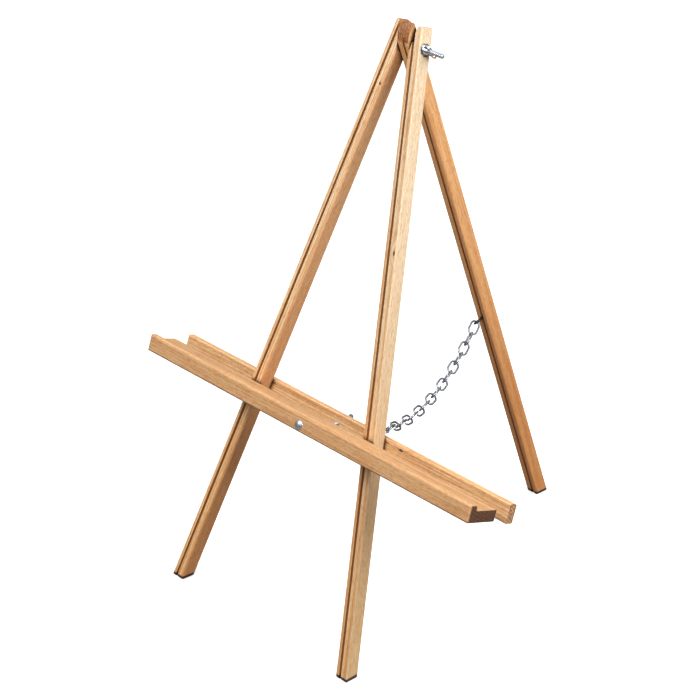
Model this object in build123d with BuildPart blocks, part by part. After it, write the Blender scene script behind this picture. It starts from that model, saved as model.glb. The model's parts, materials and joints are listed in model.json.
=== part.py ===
from build123d import *
import math
import os

# A folding display stand: two grooved front legs and a rear leg on one pivot bolt, a ledge clamped
# across the front legs, and a chain that stops the rear leg. Millimetres, +Z up, +Y to the back.
# The origin is on the floor, under the middle of the whole stand.

# ---- Driving dimensions ----

# Legs, cut from one square bar
bar = 16.0
bar_edge = 1.6                  # rounding of the edges
foot_round = 2.5                # rounding of the legs' ends where they meet the floor
front_tilt = 19.0               # front legs lean back from upright, degrees
rear_tilt = 19.6                # rear leg leans forward from upright, degrees
splay = 10.6                    # each front leg against the middle of the pair, degrees
pivot_reach = 631.0             # pivot above the floor, measured up the front legs' plane
pivot_spread = 14.45            # front leg's centreline from the middle, at the pivot
groove_width = 3.0
groove_depth = 3.0
front_groove_shift = -1.75      # groove's middle from the bar's middle, along the leg's width
rear_groove_shift = 1.5
front_top = 20.9                # front leg above the pivot, along the leg
crease_drop = 10.4              # where the cheek's bevel starts, below the pivot
cheek_angle = 8.0               # bevel that makes room for the rear leg, degrees
rear_nose_radius = 20.0         # rounded top end of the rear leg
rear_nose_start = 4.0           # where that rounding starts, above the pivot

# Ledge and rail, clamped on the front legs
ledge_length = 492.0
ledge_level = 229.0             # underside of the ledge, up the front legs' plane
ledge_depth = 39.4
shelf_height = 13.0
lip_height = 19.0
lip_thickness = 7.5
ledge_offset = 25.4             # ledge's middle from the legs' middle
rail_height = 20.9
rail_thickness = 10.0
rail_drop = 2.9                 # rail's underside below the ledge's
seat_gap = 0.1                  # sliding clearance against the legs
back_chamfer = 3.0              # under the ledge's rear edge
ledge_plan_corner = 3.5         # rounding of the ledge's ends, seen from above
ledge_end_corner = 2.4          # and seen from the front
rail_end_edge = 0.6
mark_drop = 4.0                 # fine scored line below the rail's top edge
mark_side = 0.9

# Fasteners: No. 10 carriage bolts, washers and wing nuts
bolt_radius = 2.4
bolt_fit = 0.05                 # radial running clearance
head_radius = 5.6
head_height = 2.6
neck_side = 4.8
neck_depth = 2.4
head_room = 0.4                 # around a bolt's head or a washer let into a leg
cut_past = 1.0                  # how far a groove's cut runs past the end of a leg
shank_chamfer = 0.6
pivot_bolt_length = 69.85
ledge_bolt_length = 76.2
ledge_bolt_level = 7.0          # bolt's axis above the ledge's underside
washer_radius = 6.35
washer_thickness = 1.0
washer_play = 0.3               # radial, on the bolt
nut_height = 6.0
nut_base_radius = 5.0
nut_base_height = 1.2           # straight foot of the tapered hub
nut_top_radius = 3.9
wing_span = 20.0
wing_height = 11.0
wing_thickness = 1.9
wing_tip_radius = 3.4
wing_foot_radius = 1.4          # round lower corner of each ear, inside the hub
wing_foot = (3.0, 1.9)
pivot_nut_turn = 56.0           # ears of the pivot's wing nut about its axis, degrees
ledge_nut_turn = 80.0

# Chain and its two screw eyes
link_count = 8
wire_radius = 1.15
loop_length = 16.2              # waist to the end of a loop, along the wire's centre
loop_width = 9.7                # across a loop, along the wire's centre
link_play = 0.5                 # space between two wires where links hold each other
link_roll = 130.0               # chain's twist about its own line, degrees
slope_step_range = (0.01, 1.0)  # how much steeper each hanging link may be than the one before it
halvings = 50                   # of that range, while the hanging shape is found
eye_wire_radius = 1.2
eye_ring_radius = 4.4
eye_ring_height = 6.2           # middle of the ring above the wood
eye_shank_depth = 12.0
eye_point_length = 2.4
eye_point_width = 0.9           # taken off the shank's radius at its point
hook_turn = 295.0               # the rear leg's hook is open past this much of its ring, degrees
hook_drop = 360.0               # rear leg's hook below the pivot, along the leg
eye_level = 253.0               # front leg's eye, up the front legs' plane

# ---- Shared planes ----

half_bar = bar / 2
tilt = math.radians(front_tilt)
rear_lean = math.radians(rear_tilt)
lean_out = math.radians(splay)
pivot_z = pivot_reach * math.cos(tilt)
front_extent = pivot_z * math.tan(tilt) + half_bar / math.cos(tilt)
rear_extent = pivot_z * math.tan(rear_lean) + half_bar / math.cos(rear_lean)
pivot = Vector(-ledge_offset, (front_extent - rear_extent) / 2, pivot_z)

# Front plane: X to the right, Y up the legs, Z out of their front faces.
front_plane = Plane(pivot, x_dir=(1, 0, 0), z_dir=(0, -math.cos(tilt), math.sin(tilt)))
# Rear side plane: X out of the rear leg's front face, Y up the leg.
rear_side = Plane(pivot, x_dir=(0, -math.cos(rear_lean), -math.sin(rear_lean)), z_dir=(-1, 0, 0))
pivot_axis = Plane(pivot, x_dir=(0, -math.sin(tilt), -math.cos(tilt)), z_dir=(1, 0, 0))
# Ledge profile plane, at the ledge's middle: X out of the legs' front, Y up from its underside.
ledge_section = Plane(front_plane * Pos(ledge_offset, ledge_level - pivot_reach, 0) * Rot(0, -90, 0))

leg_run = pivot_reach / math.cos(lean_out) + bar
outer_face = pivot_spread + half_bar / math.cos(lean_out)
crease_reach = pivot_spread + crease_drop * math.tan(lean_out) - half_bar / math.cos(lean_out)
washer_seat = outer_face - washer_radius * math.tan(lean_out)
head_seat = outer_face - head_radius * math.tan(lean_out)


def pivot_plane(reach, side=1):
    """Plane across the pivot's axis, reach from the legs' middle, facing outward on that side."""
    return Plane(pivot + Vector(side * reach, 0, 0), x_dir=pivot_axis.x_dir, z_dir=(side, 0, 0))


# ---- Legs ----

# The chain's eye is in the right leg's rear face.
eye_drop = eye_level - pivot_reach
eye_x = pivot_spread - eye_drop * math.tan(lean_out)
eye_face = Plane(front_plane * Pos(eye_x, eye_drop, -half_bar) * Rot(180, 0, 0))


def foot_space(middle_x, middle_y, lean_x, lean_y):
    """Leaning space above the floor that a leg may fill, with the corners of its foot rounded."""
    spread = abs(lean_x) * math.cos(tilt)
    half_x = half_bar * (math.hypot(1, spread) + spread * math.sin(tilt))
    half_y = half_bar * math.hypot(1, lean_y)
    with BuildPart() as space:
        for plane, middle, half, lean, mode in (
            (Plane.YZ, middle_y, half_y, lean_y, Mode.ADD),
            (Plane.XZ, middle_x, half_x, lean_x, Mode.INTERSECT),
        ):
            with BuildSketch(plane) as outline:
                with BuildLine():
                    Polyline(
                        (middle - half, 0),
                        (middle + half, 0),
                        (middle + half + lean * leg_run, leg_run),
                        (middle - half + lean * leg_run, leg_run),
                        close=True,
                    )
                make_face()
                fillet(outline.vertices().sort_by(Axis.Y)[:2], foot_round)
            extrude(amount=ledge_length, both=True, mode=mode)
    return space.part


def front_leg(side):
    """One front leg: side is -1 for the left and 1 for the right."""
    leg_middle = Pos(side * pivot_spread, 0, 0) * Rot(0, 0, side * splay)
    down_leg = Plane(front_plane * leg_middle * Rot(90, 0, 0))
    crease = Pos(side * crease_reach, -crease_drop, 0)
    cheek = Plane(front_plane * crease * Rot(0, 0, -side * cheek_angle) * Rot(0, side * 90, 0))
    with BuildPart() as leg:
        with BuildSketch(down_leg.offset(-front_top)):
            Rectangle(bar, bar)
        extrude(amount=front_top + leg_run)
        split(bisect_by=Plane.XY, keep=Keep.TOP)
        fillet(leg.edges(), bar_edge)
        add(foot_space(
            pivot.X + side * (pivot_spread + pivot_reach * math.tan(lean_out)),
            pivot.Y - pivot_z * math.tan(tilt),
            -side * math.tan(lean_out) / math.cos(tilt),
            math.tan(tilt),
        ), mode=Mode.INTERSECT)
        split(bisect_by=cheek, keep=Keep.TOP)
        with BuildSketch(down_leg.offset(-front_top - cut_past)):
            with Locations((front_groove_shift, half_bar)):
                Rectangle(groove_width, 2 * groove_depth)
        extrude(amount=front_top + leg_run + cut_past, mode=Mode.SUBTRACT)
        with BuildSketch(pivot_axis):
            Circle(bolt_radius + bolt_fit)
        extrude(amount=outer_face + bar, both=True, mode=Mode.SUBTRACT)
        if side > 0:
            with BuildSketch(pivot_plane(washer_seat)):
                Circle(washer_radius + head_room)
            extrude(amount=bar, mode=Mode.SUBTRACT)
            with BuildSketch(eye_face):
                Circle(eye_wire_radius + bolt_fit)
            extrude(amount=-eye_shank_depth - bolt_fit, mode=Mode.SUBTRACT)
        else:
            with BuildSketch(pivot_plane(head_seat, side)):
                Circle(head_radius + head_room)
            extrude(amount=bar, mode=Mode.SUBTRACT)
            with BuildSketch(pivot_plane(head_seat, side)):
                Rectangle(neck_side + 2 * bolt_fit, neck_side + 2 * bolt_fit)
            extrude(amount=-neck_depth - bolt_fit, mode=Mode.SUBTRACT)
    return leg


front_leg_left = front_leg(-1)
front_leg_right = front_leg(1)

# The rear leg: its top end is rounded so that it can swing between the front legs.
nose_back = rear_nose_start + math.sqrt(rear_nose_radius**2 - (rear_nose_radius - bar) ** 2)
rear_run = pivot_z / math.cos(rear_lean) + bar
hook_face = Plane(rear_side * Pos(half_bar, -hook_drop, 0) * Rot(0, 90, 0))
with BuildPart() as rear_leg:
    with BuildSketch(rear_side):
        with BuildLine():
            nose = RadiusArc((half_bar, rear_nose_start), (-half_bar, nose_back), -rear_nose_radius)
            Polyline(nose @ 1, (-half_bar, -rear_run), (half_bar, -rear_run), nose @ 0)
        make_face()
    extrude(amount=half_bar, both=True)
    split(bisect_by=Plane.XY, keep=Keep.TOP)
    nose_line = rear_side.from_local_coords((half_bar, rear_nose_start))
    blend_line = rear_leg.edges().sort_by_distance(nose_line)[0]
    fillet(rear_leg.edges() - ShapeList([blend_line]), bar_edge)
    rear_slope = math.tan(rear_lean)
    add(foot_space(pivot.X, pivot.Y + pivot_z * rear_slope, 0, -rear_slope), mode=Mode.INTERSECT)
    with BuildSketch(rear_side.offset(-rear_groove_shift)):
        with Locations((half_bar, 0)):
            Rectangle(2 * groove_depth, 3 * rear_run)
    extrude(amount=groove_width / 2, both=True, mode=Mode.SUBTRACT)
    with BuildSketch(pivot_axis):
        Circle(bolt_radius + bolt_fit)
    extrude(amount=bar, both=True, mode=Mode.SUBTRACT)
    with BuildSketch(hook_face):
        Circle(eye_wire_radius + bolt_fit)
    extrude(amount=-eye_shank_depth - bolt_fit, mode=Mode.SUBTRACT)

# ---- Ledge and rail ----

ledge_back = half_bar + seat_gap
ledge_front = ledge_back + ledge_depth
lip_back = ledge_front - lip_thickness
ledge_outline = [
    (ledge_back, back_chamfer),
    (ledge_back + back_chamfer, 0),
    (ledge_front, 0),
    (ledge_front, lip_height),
    (lip_back, lip_height),
    (lip_back, shelf_height),
    (ledge_back, shelf_height),
]
ledge_rounding = [1.0, 1.0, 1.6, 3.2, 2.4, 1.0, 3.0]
bolt_line = Plane(ledge_section * Pos(ledge_front, ledge_bolt_level, 0) * Rot(0, 90, 0))
with BuildPart() as ledge:
    with BuildSketch(ledge_section):
        with BuildLine():
            FilletPolyline(*ledge_outline, radius=ledge_rounding, close=True)
        make_face()
    extrude(amount=ledge_length / 2, both=True)
    with BuildSketch(Plane(ledge_section * Pos((ledge_back + ledge_front) / 2, 0, 0) * Rot(-90, 0, 0))):
        RectangleRounded(ledge_depth, ledge_length, ledge_plan_corner)
    extrude(amount=2 * lip_height, both=True, mode=Mode.INTERSECT)
    with BuildSketch(bolt_line):
        with Locations((0, lip_height / 2 - ledge_bolt_level)):
            RectangleRounded(ledge_length, lip_height, ledge_end_corner)
    extrude(amount=-2 * ledge_depth, mode=Mode.INTERSECT)
    with BuildSketch(bolt_line):
        Circle(bolt_radius + bolt_fit)
    extrude(amount=-2 * ledge_depth, mode=Mode.SUBTRACT)
    with BuildSketch(bolt_line):
        Rectangle(neck_side + 2 * bolt_fit, neck_side + 2 * bolt_fit)
    extrude(amount=-neck_depth - bolt_fit, mode=Mode.SUBTRACT)

rail_front = -ledge_back
rail_back = rail_front - rail_thickness
rail_low = -rail_drop
rail_top = rail_low + rail_height
rail_outline = [
    (rail_back, rail_low),
    (rail_front, rail_low),
    (rail_front, rail_top),
    (rail_back, rail_top),
]
rail_rounding = [1.2, 1.0, 1.4, 3.0]
with BuildPart() as back_rail:
    with BuildSketch(ledge_section):
        with BuildLine():
            FilletPolyline(*rail_outline, radius=rail_rounding, close=True)
        make_face()
        with Locations((rail_front, rail_top - mark_drop)):
            Rectangle(mark_side, mark_side, rotation=45, mode=Mode.SUBTRACT)
    extrude(amount=ledge_length / 2, both=True)
    for end in (0, -1):
        end_face = back_rail.faces().sort_by(Axis.X)[end]
        fillet(end_face.edges().sort_by(SortBy.LENGTH)[-3:], rail_end_edge)
    with BuildSketch(bolt_line):
        Circle(bolt_radius + bolt_fit)
    extrude(amount=-3 * ledge_depth, mode=Mode.SUBTRACT)

# ---- Fasteners ----


def carriage_bolt(seat, length):
    """Round head on the seat plane, square neck and plain shank below it."""
    dome = (head_radius**2 + head_height**2) / (2 * head_height)
    with BuildPart() as bolt:
        with BuildSketch(Plane(seat * Rot(90, 0, 0))):
            with BuildLine():
                cap = RadiusArc((0, head_height), (head_radius, 0), dome)
                Polyline(cap @ 1, (0, 0), cap @ 0)
            make_face()
        revolve(axis=Axis(seat.origin, seat.z_dir))
        with BuildSketch(seat):
            Rectangle(neck_side, neck_side)
        extrude(amount=-neck_depth)
        with BuildSketch(seat):
            Circle(bolt_radius)
        extrude(amount=-length)
        chamfer(bolt.faces().sort_by(Axis(seat.origin, seat.z_dir))[0].edges(), shank_chamfer)
    return bolt


def washer(seat):
    """Flat washer standing on the seat plane."""
    with BuildPart() as ring:
        with BuildSketch(seat):
            Circle(washer_radius)
            Circle(bolt_radius + washer_play, mode=Mode.SUBTRACT)
        extrude(amount=washer_thickness)
    return ring


def wing_nut(seat, turn):
    """Tapered hub on the seat plane with two ears, turned about its own axis."""
    wing_side = Plane(seat * Rot(0, 0, turn) * Rot(90, 0, 0))
    ear_reach = wing_span / 2 - wing_tip_radius
    ear_middle = wing_height - wing_tip_radius
    with BuildPart() as nut:
        with BuildSketch(wing_side):
            with BuildLine():
                Polyline(
                    (0, 0),
                    (nut_base_radius, 0),
                    (nut_base_radius, nut_base_height),
                    (nut_top_radius, nut_height),
                    (0, nut_height),
                    close=True,
                )
            make_face()
        revolve(axis=Axis(seat.origin, seat.z_dir))
        with BuildSketch(wing_side):
            for side in (-1, 1):
                with BuildSketch(mode=Mode.PRIVATE) as ear:
                    with Locations((side * ear_reach, ear_middle)):
                        Circle(wing_tip_radius)
                    with Locations((side * wing_foot[0], wing_foot[1])):
                        Circle(wing_foot_radius)
                    with Locations((side * wing_foot[0], nut_height - wing_foot_radius)):
                        Circle(wing_foot_radius)
                    make_hull()
                add(ear.sketch)
        extrude(amount=wing_thickness / 2, both=True)
        with BuildSketch(seat):
            Circle(bolt_radius + bolt_fit)
        extrude(amount=2 * wing_height, mode=Mode.SUBTRACT)
    return nut


pivot_bolt = carriage_bolt(pivot_plane(head_seat, -1), pivot_bolt_length)
pivot_washer = washer(pivot_plane(washer_seat))
pivot_wing_nut = wing_nut(pivot_plane(washer_seat + washer_thickness), pivot_nut_turn)

rail_seat = Plane(ledge_section * Pos(rail_back, ledge_bolt_level, 0) * Rot(0, -90, 0))
ledge_bolt = carriage_bolt(bolt_line, ledge_bolt_length)
ledge_washer = washer(rail_seat)
ledge_wing_nut = wing_nut(rail_seat.offset(washer_thickness), ledge_nut_turn)

# ---- Chain ----

# The chain hangs from the hook to the eye in one upright plane, as equal links do: the slope of each
# link is the one before it plus a fixed step.
grip = wire_radius * 2 + link_play          # between two wires' centres where links meet
link_pitch = 2 * loop_length - grip
grip_height = eye_ring_height + eye_ring_radius - (eye_wire_radius + wire_radius + link_play) / 2
hook_grip = (hook_face * Pos(0, 0, grip_height)).position
eye_grip = (eye_face * Pos(0, 0, grip_height)).position
across = Vector(eye_grip.X - hook_grip.X, eye_grip.Y - hook_grip.Y, 0)
across_way = across.normalized()


def chain_slopes(step, middle):
    """Downward-to-upward slope angle of every link."""
    return [math.atan(step * (index - middle)) for index in range(link_count)]


def chain_run(step, middle):
    """How far the hanging chain reaches across and up."""
    slopes = chain_slopes(step, middle)
    return (
        link_pitch * sum(math.cos(slope) for slope in slopes),
        link_pitch * sum(math.sin(slope) for slope in slopes),
    )


def bisected(function, low, high):
    """Where a rising function of one number passes zero."""
    for _ in range(halvings):
        centre = (low + high) / 2
        if function(centre) > 0:
            high = centre
        else:
            low = centre
    return (low + high) / 2


def chain_middle(step):
    """The lowest link's index that brings the chain's end to the eye's height."""
    rise = eye_grip.Z - hook_grip.Z
    return bisected(lambda middle: rise - chain_run(step, middle)[1], 0, link_count)


slope_step = bisected(
    lambda step: across.length - chain_run(step, chain_middle(step))[0], *slope_step_range
)
slopes = chain_slopes(slope_step, chain_middle(slope_step))


def loop_path(waist, heading, face):
    """Closed centreline of one oval, square to the face normal, from the waist along the heading."""
    radius = loop_width / 2
    start = waist - heading * (wire_radius / 2)
    tip = waist + heading * loop_length
    sideways = face.cross(heading) * radius
    near = start + heading * radius
    far = tip - heading * radius
    with BuildLine() as path:
        Line(near + sideways, far + sideways)
        ThreePointArc(far + sideways, tip, far - sideways)
        Line(far - sideways, near - sideways)
        ThreePointArc(near - sideways, start, near + sideways)
    return path.wires()[0]


def chain_link(start, heading, face):
    """Figure of eight from one grip to the next: a loop in the face plane, then one across it."""
    waist = start + heading * (link_pitch / 2)
    first = loop_path(waist, -heading, face)
    second = loop_path(waist, heading, heading.cross(face))
    with BuildPart() as link:
        for path, way in ((first, -heading), (second, heading)):
            with BuildSketch(Plane(path @ 0, z_dir=way)):
                Circle(wire_radius)
            sweep(path=path)
    return link


def screw_eye(face, ring_normal, turn=360):
    """Ring on a pointed shank screwed into the wood. A shorter turn leaves it open, as a hook."""
    ring_middle = face.origin + face.z_dir * eye_ring_height
    if ring_normal.cross(face.z_dir).Z < 0:
        ring_normal = -ring_normal
    with BuildPart() as eye:
        with BuildSketch(Plane(ring_middle, x_dir=face.z_dir, z_dir=ring_normal.cross(face.z_dir))):
            with Locations((-eye_ring_radius, 0)):
                Circle(eye_wire_radius)
        revolve(axis=Axis(ring_middle, ring_normal), revolution_arc=turn)
        with BuildSketch(face.offset(eye_ring_height - eye_ring_radius)):
            Circle(eye_wire_radius)
        extrude(amount=-eye_shank_depth - eye_ring_height + eye_ring_radius)
        shank_end = eye.faces().sort_by(Axis(face.origin, face.z_dir))[0]
        chamfer(shank_end.edges(), eye_point_length, eye_point_width)
    return eye


def squared_to(direction, axis):
    """The part of a direction that is square to an axis, as a unit vector."""
    return (direction - axis * direction.dot(axis)).normalized()


roll = math.radians(link_roll)
upward = Vector(0, 0, 1)
level_side = across_way.cross(upward)


def link_axes(slope):
    """A link's direction and the normal of its first loop."""
    heading = across_way * math.cos(slope) + upward * math.sin(slope)
    face = level_side * math.cos(roll) + level_side.cross(heading) * math.sin(roll)
    return heading, face


chain_links = []
grip_point = hook_grip
for slope in slopes:
    heading, face = link_axes(slope)
    chain_links.append(chain_link(grip_point, heading, face))
    grip_point = grip_point + heading * link_pitch

# Each ring lies across the loop that it holds.
first_heading, first_face = link_axes(slopes[0])
last_face = link_axes(slopes[-1])[1]
hook_ring_normal = squared_to(first_heading.cross(first_face), hook_face.z_dir)
chain_hook = screw_eye(hook_face, hook_ring_normal, hook_turn)
chain_eye = screw_eye(eye_face, squared_to(last_face, eye_face.z_dir))

# ---- Names and files ----

pieces = {
    "front_leg_left": front_leg_left,
    "front_leg_right": front_leg_right,
    "rear_leg": rear_leg,
    "ledge": ledge,
    "back_rail": back_rail,
    "pivot_bolt": pivot_bolt,
    "pivot_washer": pivot_washer,
    "pivot_wing_nut": pivot_wing_nut,
    "ledge_bolt": ledge_bolt,
    "ledge_washer": ledge_washer,
    "ledge_wing_nut": ledge_wing_nut,
    "chain_hook": chain_hook,
    "chain_eye": chain_eye,
}
for number, link in enumerate(reversed(chain_links), start=1):
    pieces[f"chain_link_{number}"] = link

os.makedirs("parts", exist_ok=True)
for name, piece in pieces.items():
    piece.part.label = name
    export_step(piece.part, f"parts/{name}.step")
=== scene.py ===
import json
import math

import bmesh
import bpy
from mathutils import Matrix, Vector

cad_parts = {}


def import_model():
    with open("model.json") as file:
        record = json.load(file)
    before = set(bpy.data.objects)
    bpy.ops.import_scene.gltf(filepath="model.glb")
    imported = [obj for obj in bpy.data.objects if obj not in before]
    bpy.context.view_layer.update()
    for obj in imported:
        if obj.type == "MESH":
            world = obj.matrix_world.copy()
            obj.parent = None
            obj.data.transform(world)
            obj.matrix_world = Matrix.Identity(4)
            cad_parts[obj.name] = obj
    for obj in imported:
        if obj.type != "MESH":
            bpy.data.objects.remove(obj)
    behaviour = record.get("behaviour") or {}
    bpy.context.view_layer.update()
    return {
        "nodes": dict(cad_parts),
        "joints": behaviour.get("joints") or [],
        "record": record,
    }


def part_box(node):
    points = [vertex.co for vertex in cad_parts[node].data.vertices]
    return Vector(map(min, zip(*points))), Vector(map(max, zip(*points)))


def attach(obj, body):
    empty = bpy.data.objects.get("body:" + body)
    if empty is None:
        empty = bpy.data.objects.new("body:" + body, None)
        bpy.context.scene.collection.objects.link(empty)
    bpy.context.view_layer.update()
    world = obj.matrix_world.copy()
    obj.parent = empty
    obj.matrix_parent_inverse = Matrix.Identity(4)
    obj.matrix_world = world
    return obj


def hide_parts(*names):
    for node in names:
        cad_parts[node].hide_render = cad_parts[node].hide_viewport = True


# A folding wooden display stand with zinc hardware and a chain, in a plain white studio.

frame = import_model()
record = frame["record"]
nodes = frame["nodes"]
joints = {joint["name"]: joint for joint in frame["joints"]}

MM = 0.001

# ---- Where things are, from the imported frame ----

ACROSS = Vector((1, 0, 0))
UP = Vector((0, 0, 1))
PIVOT = Vector(joints["rear_leg_fold"]["pos_m"])
# Up the plane of the front legs, and out of their front faces.
UP_FRONT = Vector(joints["ledge_slide"]["axis"]).normalized()
OUT_FRONT = Vector((0, -UP_FRONT.z, UP_FRONT.y))
# Each front leg's middle from the pair's middle, at the pivot.
PIVOT_SPREAD = 14.45 * MM


def span(node, axis):
    """A node's lowest and highest reach along an axis."""
    reach = [vertex.co.dot(axis) for vertex in nodes[node].data.vertices]
    return min(reach), max(reach)


def foot_middle(mount_name):
    return Vector(next(mount["pos_m"] for mount in record["mounts"] if mount["name"] == mount_name))


def front_leg_axes(mount_name, side):
    """A front leg's own axes: a point on it, up its length, across it and out of its front face."""
    top = PIVOT + ACROSS * side * PIVOT_SPREAD
    along = (top - foot_middle(mount_name)).normalized()
    out = (OUT_FRONT - along * OUT_FRONT.dot(along)).normalized()
    return top, along, along.cross(out).normalized(), out


def rear_leg_axes():
    """The same for the rear leg, whose outward face is the front one too."""
    along = (PIVOT - foot_middle("rear_foot")).normalized()
    return PIVOT, along, ACROSS, ACROSS.cross(along).normalized()


# ---- Shader helpers ----


class Graph:
    """Short names for building a material's node tree."""

    def __init__(self, name):
        self.material = bpy.data.materials.new(name)
        self.material.use_nodes = True
        self.tree = self.material.node_tree
        self.shader = self.tree.nodes["Principled BSDF"]

    def node(self, kind, **settings):
        made = self.tree.nodes.new("ShaderNode" + kind)
        for key, value in settings.items():
            setattr(made, key, value)
        return made

    def feed(self, socket, value):
        if isinstance(value, bpy.types.NodeSocket):
            self.tree.links.new(value, socket)
        elif value is not None:
            socket.default_value = value

    def math(self, operation, first, second=None, third=None):
        made = self.node("Math", operation=operation)
        for socket, value in zip(made.inputs, (first, second, third)):
            self.feed(socket, value)
        return made.outputs[0]

    def vector(self, operation, first, second=None, scale=None):
        made = self.node("VectorMath", operation=operation)
        self.feed(made.inputs[0], first)
        self.feed(made.inputs[1], second)
        if scale is not None:
            self.feed(made.inputs["Scale"], scale)
        return made.outputs["Value" if operation in ("DOT_PRODUCT", "LENGTH") else "Vector"]

    def combine(self, x, y, z):
        made = self.node("CombineXYZ")
        for socket, value in zip(made.inputs, (x, y, z)):
            self.feed(socket, value)
        return made.outputs[0]

    def noise(self, vector, scale, detail, roughness=0.55):
        made = self.node("TexNoise")
        self.feed(made.inputs["Vector"], vector)
        made.inputs["Scale"].default_value = scale
        made.inputs["Detail"].default_value = detail
        made.inputs["Roughness"].default_value = roughness
        return made.outputs["Fac"]

    def between(self, value, low, high, to_low=0.0, to_high=1.0):
        """A smooth step from low to high."""
        made = self.node("MapRange", interpolation_type="SMOOTHSTEP")
        for socket, given in zip(made.inputs, (value, low, high, to_low, to_high)):
            self.feed(socket, given)
        return made.outputs[0]

    def mix(self, factor, first, second, blend="MIX"):
        made = self.node("Mix", data_type="RGBA", blend_type=blend)
        self.feed(made.inputs["Factor"], factor)
        self.feed(made.inputs[6], first)
        self.feed(made.inputs[7], second)
        return made.outputs[2]

    def bump(self, height, strength, distance):
        made = self.node("Bump")
        made.inputs["Strength"].default_value = strength
        made.inputs["Distance"].default_value = distance
        self.feed(made.inputs["Height"], height)
        return made.outputs[0]


def srgb(red, green, blue):
    """A screen colour from 0 to 255 as linear light."""
    def linear(value):
        value /= 255
        return value / 12.92 if value <= 0.04045 else ((value + 0.055) / 1.055) ** 2.4
    return (linear(red), linear(green), linear(blue), 1.0)


# ---- Wood, with every size in millimetres ----

HALF_BAR = 8.0                       # half a leg's width
CREASE_REACH = 8.0                   # how near another surface must be for painted shade on the wood
RING_WIDTH = 2.9
RING_WANDER = 9.0
HEART_BLEND = 0.8                    # half the width over which heartwood fades in
HEART_WANDER = 2.0
WOOD_RELIEF = 0.15
HALF_GROOVE = 1.55
GROOVE_TOP = 0.15                    # how far below the face its tint starts
GROOVE_FULL = 1.4                    # and how far below it is full
EDGE_SHADE_TOP = 2.4                  # how far painted shade comes up from a lower edge
EDGE_SHADE_FULL = 1.0

# How fast each noise changes across the grain and along it.
WANDER_GRAIN = (0.05, 0.006)
BAND_GRAIN = (0.35, 0.008)
FIBRE_GRAIN = (2.4, 0.035)
MOTTLE_GRAIN = (0.9, 0.16)
FLECK_GRAIN = (5.0, 0.22)

# Each fade goes from one value of its measure to another, and from one strength to another.
BAND_FADE = (0.46, 0.70, 0.0, 0.7)               # these five by their noise
FIBRE_FADE = (0.34, 0.70, 0.0, 0.62)
MOTTLE_FADE = (0.48, 0.66, 0.0, 0.55)
FLECK_FADE = (0.62, 0.74, 0.0, 1.0)
PORE_FADE = (0.44, 0.60, 0.0, 0.75)
LATE_FADE = (0.25, 0.86, 0.0, 1.0)               # by the place in a growth ring
LATE_END_FADE = (1.0, 0.9, 0.0, 1.0)
KNOT_SWERVE_FADE = (8.0, 0.5, 0.0, 3.2)          # by the distance from the knot
KNOT_CORE_FADE = (1.7, 0.9, 0.0, 1.0)
LOW_SHADE_FADE = (-90.0, -560.0, 0.0, 0.8)             # by the place along the leg, from the pivot; painted shade towards the feet
FOOT_DARK_FADE = (4.8, 3.8, 0.0, 0.95)           # by the height above the floor
CREASE_SHADE_FADE = (0.35, 0.85, 0.95, 0.0)            # by how open the surface is

# How strongly each covers what is under it.
HEART_COVER = 0.9
FLECK_COVER = 0.35
GROOVE_COVER = 0.85
KNOT_COVER = 0.92
EDGE_SHADE_COVER = 0.7
END_FIGURE = 0.6

FIBRE_TINT = srgb(224, 186, 148)
MOTTLE_TINT = srgb(214, 178, 150)
LOW_SHADE_GOLD = srgb(253, 228, 194)       # the painted shade's lower tint outside the heartwood
FLECK = srgb(120, 72, 34)
GROOVE_TINT = srgb(206, 142, 80)
KNOT = srgb(58, 34, 18)
END_PALE = (0.43, 0.18, 0.065, 1)
END_DARK = (0.17, 0.058, 0.019, 1)
END_PORE = srgb(62, 36, 22)
FOOT_DARK = srgb(48, 32, 22)
# Painted shade: the first along a lower edge, the second in the creases between pieces.
EDGE_SHADE = srgb(92, 60, 36)
CREASE_SHADE = srgb(48, 28, 16)


class Bar:
    """A point of a bar in millimetres: u across it, v out of its face and w along it."""

    def __init__(self, graph, axes, seed):
        origin, self.along, side, out = axes
        self.graph = graph
        self.seed = seed
        self.coordinates = graph.node("TexCoord")
        self.place = self.coordinates.outputs["Object"]
        self.local = graph.vector("SCALE", graph.vector("SUBTRACT", self.place, origin), scale=1 / MM)
        self.u = graph.vector("DOT_PRODUCT", self.local, side)
        self.v = graph.vector("DOT_PRODUCT", self.local, out)
        self.w = graph.vector("DOT_PRODUCT", self.local, self.along)

    def noise(self, grain, detail, roughness=0.55):
        """Noise that is drawn out along the grain."""
        g = self.graph
        across, along = grain
        at = g.combine(
            g.math("MULTIPLY", self.u, across),
            g.math("MULTIPLY", self.v, across),
            g.math("MULTIPLY_ADD", self.w, along, self.seed),
        )
        return g.noise(at, 1.0, detail, roughness)


def knot_marks(bar, knots):
    """How far the growth rings swerve around the knots, and where the knots' dark middles are."""
    g = bar.graph
    swerve = 0.0
    core = 0.0
    for across, outward, along, shortness in knots:
        offset = g.combine(
            g.math("SUBTRACT", bar.u, across),
            g.math("SUBTRACT", bar.v, outward),
            g.math("MULTIPLY", g.math("SUBTRACT", bar.w, along), shortness),
        )
        distance = g.vector("LENGTH", offset)
        swerve = g.math("ADD", swerve, g.between(distance, *KNOT_SWERVE_FADE))
        core = g.math("MAXIMUM", core, g.between(distance, *KNOT_CORE_FADE))
    return swerve, core


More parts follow.
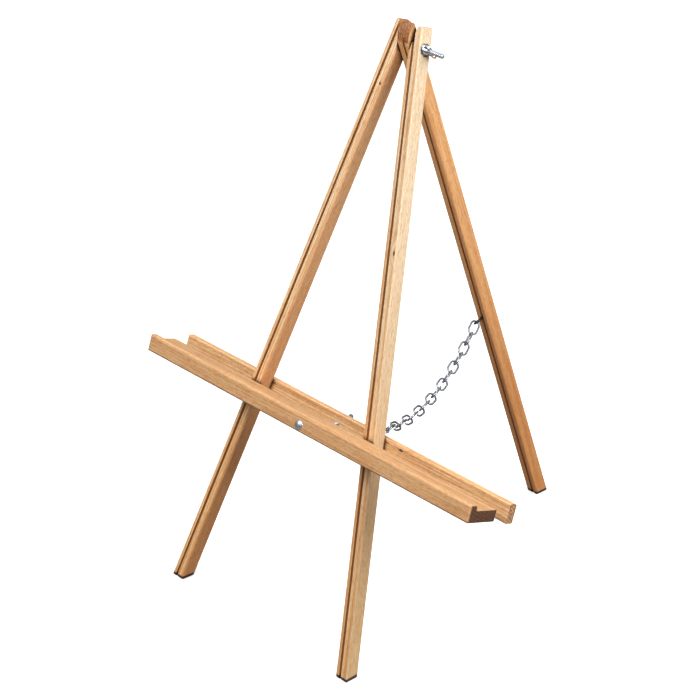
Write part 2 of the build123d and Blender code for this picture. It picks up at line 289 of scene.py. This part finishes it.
def late_wood(bar, pith, swerve):
    """The dark outer part of each growth ring around the pith."""
    g = bar.graph
    wander = g.math("MULTIPLY", g.math("SUBTRACT", bar.noise(WANDER_GRAIN, 2.0), 0.5), RING_WANDER)
    from_pith = g.combine(
        g.math("SUBTRACT", g.math("ADD", bar.u, wander), pith[0]),
        g.math("SUBTRACT", bar.v, pith[1]),
        0.0,
    )
    radius = g.math("ADD", g.vector("LENGTH", from_pith), swerve)
    ring = g.math("FRACT", g.math("MULTIPLY", radius, 1 / RING_WIDTH))
    return g.math("MULTIPLY", g.between(ring, *LATE_FADE), g.between(ring, *LATE_END_FADE))


def groove_inside(bar, middle):
    """1 inside the groove in a leg's outward face."""
    g = bar.graph
    off_middle = g.math("ABSOLUTE", g.math("SUBTRACT", bar.u, middle))
    within = g.math("LESS_THAN", off_middle, HALF_GROOVE)
    return g.math("MULTIPLY", within, g.between(bar.v, HALF_BAR - GROOVE_TOP, HALF_BAR - GROOVE_FULL))


def end_grain(bar, late, pale, dark):
    g = bar.graph
    colour = g.mix(g.math("MULTIPLY", late, END_FIGURE), pale, dark)
    pores = g.noise(bar.local, 0.75, 3.0, 0.7)
    return g.mix(g.between(pores, *PORE_FADE), colour, END_PORE)


def darkened(bar, colour, dark_below, open_wood):
    """Darkens the feet's bottoms, and paints shade at a lower edge and in the creases between pieces."""
    g = bar.graph
    height = g.math("MULTIPLY", g.vector("DOT_PRODUCT", bar.place, UP), 1 / MM)
    # The feet are darkened over their lowest few millimetres.
    colour = g.mix(g.between(height, *FOOT_DARK_FADE), colour, FOOT_DARK)
    if dark_below is not None:
        # Painted shade along the lower edge.
        edge = g.between(bar.u, dark_below + EDGE_SHADE_TOP, dark_below + EDGE_SHADE_FULL, 0.0, EDGE_SHADE_COVER)
        colour = g.mix(edge, colour, EDGE_SHADE)
    # Painted shade where other surfaces come near: creases, contacts and the groove.
    crease = g.node("AmbientOcclusion", samples=8)
    crease.inputs["Distance"].default_value = CREASE_REACH * MM
    shade = g.math("MULTIPLY", g.between(crease.outputs["AO"], *CREASE_SHADE_FADE), open_wood)
    return g.mix(shade, colour, CREASE_SHADE)


def wood(name, axes, pale, tan, pith, figure, seed, heart=None, heart_from=None, low=None, knots=(),
         groove=None, dark_below=None, end_pale=END_PALE, end_dark=END_DARK, end_from=(0.55, 0.85)):
    """Straight-grained softwood along one bar.

    axes are a point on the bar, its length, its width and its outward face. pale and tan are the early
    and late wood of a growth ring, pith is the middle of the rings, and figure is how much they show.
    heart colours the wood past heart_from, across the width. low darkens the lower end, as painted
    shade.
    Each knot is its place across, out and along, and how short it is along the grain. groove is the
    groove's middle.
    dark_below is the lower edge along which shade is painted. end_pale and end_dark colour end grain,
    and end_from is how squarely a face must cross the grain to show it."""
    g = Graph(name)
    bar = Bar(g, axes, seed)
    swerve, knot_core = knot_marks(bar, knots)
    late = late_wood(bar, pith, swerve)
    band = bar.noise(BAND_GRAIN, 2.0)
    fibre = bar.noise(FIBRE_GRAIN, 4.0, 0.6)
    mottle = bar.noise(MOTTLE_GRAIN, 2.0, 0.7)
    fleck = g.between(bar.noise(FLECK_GRAIN, 2.0), *FLECK_FADE)

    colour = g.mix(g.math("MULTIPLY", late, figure), pale, tan)
    colour = g.mix(g.between(band, *BAND_FADE), colour, tan)
    if heart is not None:
        edge = g.math("ADD", bar.u, g.math("MULTIPLY", g.math("SUBTRACT", band, 0.5), HEART_WANDER))
        heartwood = g.between(edge, heart_from - HEART_BLEND, heart_from + HEART_BLEND)
        colour = g.mix(g.math("MULTIPLY", heartwood, HEART_COVER), colour, heart)
    # Painted shade: the wood darkens towards the feet.
    if low is not None:
        low_shade_tint = low if heart is None else g.mix(heartwood, LOW_SHADE_GOLD, low)
        colour = g.mix(g.between(bar.w, *LOW_SHADE_FADE), colour, low_shade_tint, "MULTIPLY")
    colour = g.mix(g.between(fibre, *FIBRE_FADE), colour, FIBRE_TINT, "MULTIPLY")
    colour = g.mix(g.between(mottle, *MOTTLE_FADE), colour, MOTTLE_TINT, "MULTIPLY")
    colour = g.mix(g.math("MULTIPLY", fleck, FLECK_COVER), colour, FLECK)
    # open_wood weakens the painted crease shade inside the groove.
    open_wood = 1.0
    if groove is not None:
        inside = groove_inside(bar, groove)
        colour = g.mix(g.math("MULTIPLY", inside, GROOVE_COVER), colour, GROOVE_TINT)
        open_wood = g.math("MULTIPLY_ADD", inside, -GROOVE_COVER, 1.0)
    colour = g.mix(g.math("MULTIPLY", knot_core, KNOT_COVER), colour, KNOT)
    facing = g.math("ABSOLUTE", g.vector("DOT_PRODUCT", bar.coordinates.outputs["Normal"], bar.along))
    colour = g.mix(g.between(facing, *end_from), colour, end_grain(bar, late, end_pale, end_dark))
    colour = darkened(bar, colour, dark_below, open_wood)

    g.feed(g.shader.inputs["Base Color"], colour)
    g.feed(g.shader.inputs["Roughness"], g.between(fibre, 0.3, 0.7, 0.42, 0.60))
    g.shader.inputs["Specular IOR Level"].default_value = 0.35
    g.shader.inputs["Coat Weight"].default_value = 0.12
    g.shader.inputs["Coat Roughness"].default_value = 0.35
    # Fibres stand up a little, and flecks and late wood are sunk.
    relief = g.math("SUBTRACT", g.math("MULTIPLY", fibre, 0.6), g.math("MULTIPLY", fleck, 0.5))
    relief = g.math("SUBTRACT", relief, g.math("MULTIPLY", late, 0.25))
    g.feed(g.shader.inputs["Normal"], g.bump(relief, 0.5, WOOD_RELIEF * MM))
    return g.material


# ---- Metal ----


def zinc(name, tint, dull, roughness):
    """Bright zinc plating, mottled with a duller tone, with fine handling marks."""
    g = Graph(name)
    at = g.vector("SCALE", g.node("TexCoord").outputs["Object"], scale=1 / MM)
    mottle = g.noise(at, 0.55, 3.0)
    scratch = g.noise(g.vector("MULTIPLY", at, (6.0, 0.7, 1.6)), 1.0, 2.0)
    colour = g.mix(g.between(mottle, 0.35, 0.7), tint, dull)
    g.feed(g.shader.inputs["Base Color"], colour)
    g.shader.inputs["Metallic"].default_value = 1.0
    g.feed(g.shader.inputs["Roughness"], g.between(scratch, 0.3, 0.75, roughness, roughness + 0.2))
    g.feed(g.shader.inputs["Normal"], g.bump(scratch, 0.25, 0.05 * MM))
    return g.material


def black_paint(name):
    """Black japanned steel, thin at the wear points."""
    g = Graph(name)
    at = g.vector("SCALE", g.node("TexCoord").outputs["Object"], scale=1 / MM)
    wear = g.between(g.noise(at, 0.8, 4.0, 0.65), 0.62, 0.72)
    g.feed(g.shader.inputs["Base Color"], g.mix(wear, srgb(22, 21, 22), srgb(74, 70, 68)))
    g.feed(g.shader.inputs["Roughness"], g.between(wear, 0.0, 1.0, 0.32, 0.5))
    g.feed(g.shader.inputs["Metallic"], g.math("MULTIPLY", wear, 0.8))
    return g.material


def dress(node, material):
    """Gives a CAD node its material."""
    mesh = nodes[node].data
    mesh.materials.clear()
    mesh.materials.append(material)


CREAM = srgb(248, 228, 190)
BLEACHED = srgb(236, 220, 188)
HONEY = srgb(208, 156, 98)
BROWN = srgb(228, 180, 132)
LEG_GROOVE = -1.75                   # its middle from the leg's middle, in millimetres

LEFT = front_leg_axes("left_foot", -1)
RIGHT = front_leg_axes("right_foot", 1)
LEDGE_LOW, LEDGE_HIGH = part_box("ledge")
LEDGE = ((LEDGE_LOW + LEDGE_HIGH) / 2, ACROSS, UP_FRONT, OUT_FRONT)
LEDGE_EDGE = (span("ledge", UP_FRONT)[0] - LEDGE[0].dot(UP_FRONT)) / MM
RAIL_LOW, RAIL_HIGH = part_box("back_rail")
RAIL = ((RAIL_LOW + RAIL_HIGH) / 2, ACROSS, UP_FRONT, OUT_FRONT)

dress("front_leg_left", wood(
    "left_leg_wood", LEFT, CREAM, HONEY, pith=(-46, 30), figure=0.6, seed=1.0,
    heart=BROWN, heart_from=5.8, low=srgb(220, 196, 166),
    knots=((4.6, 8.0, -46.0, 0.8),), groove=LEG_GROOVE))
dress("front_leg_right", wood(
    "right_leg_wood", RIGHT, BLEACHED, HONEY, pith=(-18, -60), figure=0.6, seed=4.0,
    heart=srgb(236, 220, 190), heart_from=6.2, low=srgb(214, 190, 156),
    knots=((5.2, 8.0, -205.0, 0.5),), groove=LEG_GROOVE))
dress("rear_leg", wood(
    "rear_leg_wood", rear_leg_axes(), srgb(238, 190, 134), srgb(212, 152, 96),
    pith=(-60, 22), figure=0.5, seed=7.0, low=srgb(220, 196, 166), groove=1.5, end_from=(0.08, 0.28)))
# The ledge's end grain is dark as end grain is, with painted shade added on top.
dress("ledge", wood(
    "ledge_wood", LEDGE, srgb(216, 176, 128), srgb(188, 140, 94),
    pith=(90, -40), figure=0.35, seed=10.0, dark_below=LEDGE_EDGE,
    end_pale=srgb(104, 70, 46), end_dark=srgb(66, 42, 28)))
dress("back_rail", wood(
    "rail_wood", RAIL, srgb(244, 208, 158), srgb(204, 148, 94),
    pith=(-50, 30), figure=0.6, seed=13.0, knots=((6.5, 5.0, 93.0, 0.4),),
    end_pale=srgb(206, 158, 114), end_dark=srgb(72, 42, 26)))

ZINC = zinc("bright_zinc", srgb(224, 229, 238), srgb(176, 186, 202), 0.14)
CHAIN_ZINC = zinc("chain_zinc", srgb(196, 200, 208), srgb(116, 122, 134), 0.16)
SOFT_EDGE = 0.35 * MM


def smooth(mesh):
    for polygon in mesh.polygons:
        polygon.use_smooth = True


def soften(node):
    """Breaks a CAD node's sharp edges, as tumbling and plating do."""
    bevel = nodes[node].modifiers.new("soft_edges", "BEVEL")
    bevel.width = SOFT_EDGE
    bevel.segments = 3
    bevel.limit_method = "ANGLE"
    bevel.angle_limit = math.radians(35)


for name in ("pivot_washer", "pivot_wing_nut", "ledge_washer", "ledge_wing_nut", "chain_eye"):
    dress(name, ZINC)
for name in ("pivot_wing_nut", "ledge_wing_nut"):
    soften(name)
dress("chain_hook", black_paint("black_hook"))


def finished(mesh, material, body, node):
    """Puts a mesh in the scene in place of a CAD node."""
    mesh.materials.append(material)
    piece = bpy.data.objects.new(mesh.name, mesh)
    bpy.context.scene.collection.objects.link(piece)
    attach(piece, body)
    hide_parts(node)


# ---- Bolts with cut threads ----

THREAD_PITCH = 25.4 / 24 * MM
THREAD_DEPTH = 0.42 * MM
THREAD_SHARPNESS = 1.15              # above 1 leaves a flat crest
BOLT_RADIUS = 2.4 * MM
HEAD_RADIUS = 5.6 * MM
HEAD_HEIGHT = 2.6 * MM
PLAIN_LENGTH = 14.0 * MM
HEAD_RIM = 0.35 * MM                 # upright edge under the dome
POINT_LENGTH = 1.0 * MM
POINT_TAPER = 0.8
AROUND = 32
DOME_STEPS = 12
STEPS_PER_TURN = 8


def bolt_rings(length):
    """(distance from the top of the head, radius at each angle) from the head to the point."""
    dome = (HEAD_RADIUS**2 + HEAD_HEIGHT**2) / (2 * HEAD_HEIGHT)
    for step in range(1, DOME_STEPS + 1):
        down = HEAD_HEIGHT * (step / DOME_STEPS) ** 2
        yield down, [math.sqrt(dome**2 - (dome - down) ** 2)] * AROUND
    yield HEAD_HEIGHT + HEAD_RIM, [HEAD_RADIUS] * AROUND
    yield HEAD_HEIGHT + HEAD_RIM + 0.05 * MM, [BOLT_RADIUS] * AROUND
    count = int((length - PLAIN_LENGTH) / THREAD_PITCH * STEPS_PER_TURN)
    for step in range(count + 1):
        along = PLAIN_LENGTH + (length - PLAIN_LENGTH) * step / count
        limit = BOLT_RADIUS - max(0.0, POINT_LENGTH - (length - along)) * POINT_TAPER
        fade = min(1.0, (along - PLAIN_LENGTH) / (2 * THREAD_PITCH))
        radii = []
        for index in range(AROUND):
            phase = (along / THREAD_PITCH - index / AROUND) % 1.0
            groove = max(0.0, 1.0 - abs(2.0 * phase - 1.0) * THREAD_SHARPNESS)
            radii.append(min(limit, BOLT_RADIUS - THREAD_DEPTH * groove * fade))
        yield along, radii


def threaded_bolt(node, body, top, axis):
    """A carriage bolt from the top of its head, along the axis."""
    low, high = span(node, axis)
    turn = axis.to_track_quat("Z", "Y").to_matrix()
    bolt = bmesh.new()
    apex = bolt.verts.new(top)
    before = None
    for along, radii in bolt_rings(high - low):
        ring = []
        for index, radius in enumerate(radii):
            angle = 2 * math.pi * index / AROUND
            place = Vector((radius * math.cos(angle), radius * math.sin(angle), along))
            ring.append(bolt.verts.new(top + turn @ place))
        for index in range(AROUND):
            after = (index + 1) % AROUND
            if before is None:
                bolt.faces.new((apex, ring[after], ring[index]))
            else:
                bolt.faces.new((before[index], before[after], ring[after], ring[index]))
        before = ring
    bolt.faces.new(before)
    bmesh.ops.recalc_face_normals(bolt, faces=bolt.faces)
    mesh = bpy.data.meshes.new(node + "_threaded")
    bolt.to_mesh(mesh)
    bolt.free()
    smooth(mesh)
    finished(mesh, ZINC, body, node)


pivot_start = Vector((span("pivot_bolt", ACROSS)[0], PIVOT.y, PIVOT.z))
threaded_bolt("pivot_bolt", "front_frame", pivot_start, ACROSS)
ledge_line = Vector(joints["ledge_nut_turn"]["pos_m"])
ledge_start = ledge_line + OUT_FRONT * (span("ledge_bolt", OUT_FRONT)[1] - ledge_line.dot(OUT_FRONT))
threaded_bolt("ledge_bolt", "ledge_clamp", ledge_start, -OUT_FRONT)


# ---- Chain: each link is one bent wire with a loop at each end ----

LINKS = 8
WIRE_RADIUS = 1.15 * MM
LOOP_LENGTH = 16.2 * MM              # from the waist to the wire's middle at a loop's end
LOOP_RADIUS = 4.85 * MM
LINK_ROLL = math.radians(130.0)      # each link's turn about its length
STRAIGHT = LOOP_LENGTH + WIRE_RADIUS / 2 - 2 * LOOP_RADIUS    # each side of a loop
END_GAP = 1.9 * MM                   # along the wire, from a loop's apex to its cut end
CROSSING = 1.7 * MM                  # and to where the wire crosses over to the other loop
LOOP_STEPS = 60

GRIPS = [Vector(joints[f"chain_link_{number}_turn"]["pos_m"]) for number in range(1, LINKS + 1)]
CHAIN_ACROSS = Vector((GRIPS[0].x - GRIPS[-1].x, GRIPS[0].y - GRIPS[-1].y, 0)).normalized()
LEVEL_SIDE = CHAIN_ACROSS.cross(UP)
PITCH = (GRIPS[0] - GRIPS[1]).length


def link_headings():
    """Each link's direction towards the eye.

    Along a hanging chain the slopes change by equal steps, which gives the last link's."""
    headings = [(GRIPS[i] - GRIPS[i + 1]).normalized() for i in range(LINKS - 1)]
    slopes = [heading.z / heading.dot(CHAIN_ACROSS) for heading in headings]
    last_slope = 2 * slopes[-1] - slopes[-2]
    return headings + [(CHAIN_ACROSS + UP * last_slope).normalized()]


def oval_point(distance, waist, heading, sideways):
    """A point on a loop, by the distance along its wire from its apex at the waist."""
    quarter = LOOP_RADIUS * math.pi / 2
    near = waist + heading * (LOOP_RADIUS - WIRE_RADIUS / 2)
    far = near + heading * STRAIGHT
    if distance < quarter:
        angle = distance / LOOP_RADIUS
        return near + sideways * LOOP_RADIUS * math.sin(angle) - heading * LOOP_RADIUS * math.cos(angle)
    distance -= quarter
    if distance < STRAIGHT:
        return near + sideways * LOOP_RADIUS + heading * distance
    distance -= STRAIGHT
    if distance < 2 * quarter:
        angle = distance / LOOP_RADIUS
        return far + sideways * LOOP_RADIUS * math.cos(angle) + heading * LOOP_RADIUS * math.sin(angle)
    distance -= 2 * quarter
    if distance < STRAIGHT:
        return far - sideways * LOOP_RADIUS - heading * distance
    angle = (distance - STRAIGHT) / LOOP_RADIUS
    return near - sideways * LOOP_RADIUS * math.cos(angle) - heading * LOOP_RADIUS * math.sin(angle)


def wire_route(waist, heading, face):
    """From the cut end of the first loop, over the waist, to the cut end of the second."""
    around = 2 * math.pi * LOOP_RADIUS + 2 * STRAIGHT
    run = around - END_GAP - CROSSING
    steps = [END_GAP + run * step / LOOP_STEPS for step in range(LOOP_STEPS + 1)]
    first = [oval_point(step, waist, -heading, face.cross(heading)) for step in steps]
    second = [oval_point(around - step, waist, heading, face) for step in reversed(steps)]
    return first + [waist] + second


def jack_link(number, grip, heading):
    """A link as one bent wire, with its waist half a pitch past its grip."""
    waist = grip - heading * (PITCH / 2)
    face = LEVEL_SIDE * math.cos(LINK_ROLL) + LEVEL_SIDE.cross(heading) * math.sin(LINK_ROLL)
    curve = bpy.data.curves.new("wire", "CURVE")
    curve.dimensions = "3D"
    curve.bevel_depth = WIRE_RADIUS
    curve.bevel_resolution = 4
    curve.use_fill_caps = True
    route = wire_route(waist, heading, face)
    spline = curve.splines.new("POLY")
    spline.points.add(len(route) - 1)
    for point, place in zip(spline.points, route):
        point.co = (*place, 1.0)
    wire = bpy.data.objects.new("wire", curve)
    bpy.context.scene.collection.objects.link(wire)
    view = bpy.context.evaluated_depsgraph_get()
    mesh = bpy.data.meshes.new_from_object(wire.evaluated_get(view))
    bpy.data.objects.remove(wire)
    mesh.name = f"jack_link_{number}"
    smooth(mesh)
    finished(mesh, CHAIN_ZINC, f"link_{number}", f"chain_link_{number}")


for number, (grip, heading) in enumerate(zip(GRIPS, link_headings()), start=1):
    jack_link(number, grip, heading)


# ---- Studio ----

# The camera looks from the front right and above, and the lights aim at the same target.
# Angles are in degrees.
TARGET = Vector((46.6, -148.95, 331.9)) * MM
CAMERA_AZIMUTH = 47.753
CAMERA_ELEVATION = 27.10
CAMERA_DISTANCE = 2.4874
LENS = 129.19
SENSOR = 36.0
FLOOR_SIZE = 30.0
FLOOR_SEEN = (0.97, 0.97, 0.97, 1)
FLOOR_BOUNCE = (0.20, 0.19, 0.18, 1)
FLOOR_GLOW = 0.34
HORIZON_LIGHT = 0.14
ZENITH_LIGHT = 0.95


def aimed(name, data, azimuth, elevation, distance):
    """Puts a camera or a light around the target, at angles in degrees, facing it."""
    made = bpy.data.objects.new(name, data)
    bpy.context.scene.collection.objects.link(made)
    turn, lift = math.radians(azimuth), math.radians(elevation)
    made.location = TARGET + distance * Vector((
        math.sin(turn) * math.cos(lift),
        -math.cos(turn) * math.cos(lift),
        math.sin(lift),
    ))
    made.rotation_euler = (TARGET - made.location).to_track_quat("-Z", "Y").to_euler()
    return made


def camera():
    data = bpy.data.cameras.new("camera")
    data.lens = LENS
    data.sensor_width = SENSOR
    bpy.context.scene.camera = aimed("camera", data, CAMERA_AZIMUTH, CAMERA_ELEVATION, CAMERA_DISTANCE)


def area_light(name, azimuth, elevation, distance, size, power):
    data = bpy.data.lights.new(name, "AREA")
    data.size = size
    data.energy = power
    aimed(name, data, azimuth, elevation, distance)


def floor():
    """White to the eye, and duller in the light it throws back, so that undersides stay dark."""
    mesh = bpy.data.meshes.new("floor")
    half = FLOOR_SIZE / 2
    corners = [(-half, -half, 0), (half, -half, 0), (half, half, 0), (-half, half, 0)]
    mesh.from_pydata(corners, [], [(0, 1, 2, 3)])
    g = Graph("floor_white")
    seen = g.node("LightPath").outputs["Is Camera Ray"]
    g.feed(g.shader.inputs["Base Color"], g.mix(seen, FLOOR_BOUNCE, FLOOR_SEEN))
    g.shader.inputs["Roughness"].default_value = 0.9
    g.shader.inputs["Specular IOR Level"].default_value = 0.0
    g.shader.inputs["Emission Color"].default_value = (1, 1, 1, 1)
    g.feed(g.shader.inputs["Emission Strength"], g.math("MULTIPLY", seen, FLOOR_GLOW))
    mesh.materials.append(g.material)
    made = bpy.data.objects.new("floor", mesh)
    bpy.context.scene.collection.objects.link(made)


def world():
    """A soft overhead light that dims towards the horizon, and is white where the camera sees it."""
    made = bpy.data.worlds.new("studio")
    made.use_nodes = True
    tree = made.node_tree
    background = tree.nodes["Background"]
    split = tree.nodes.new("ShaderNodeSeparateXYZ")
    tree.links.new(tree.nodes.new("ShaderNodeTexCoord").outputs["Generated"], split.inputs[0])
    height = tree.nodes.new("ShaderNodeMapRange")
    for socket, value in zip(height.inputs[1:5], (-0.1, 0.9, HORIZON_LIGHT, ZENITH_LIGHT)):
        socket.default_value = value
    tree.links.new(split.outputs["Z"], height.inputs[0])
    seen = tree.nodes.new("ShaderNodeMix")
    seen.data_type = "FLOAT"
    tree.links.new(tree.nodes.new("ShaderNodeLightPath").outputs["Is Camera Ray"], seen.inputs[0])
    tree.links.new(height.outputs[0], seen.inputs[2])
    seen.inputs[3].default_value = 1.0
    background.inputs["Color"].default_value = (1, 1, 1, 1)
    tree.links.new(seen.outputs[0], background.inputs["Strength"])
    bpy.context.scene.world = made


camera()
floor()
world()
area_light("key", azimuth=-12, elevation=52, distance=1.4, size=0.7, power=13)
area_light("side", azimuth=100, elevation=34, distance=2.4, size=1.3, power=52)
bpy.context.scene.view_settings.view_transform = "Standard"
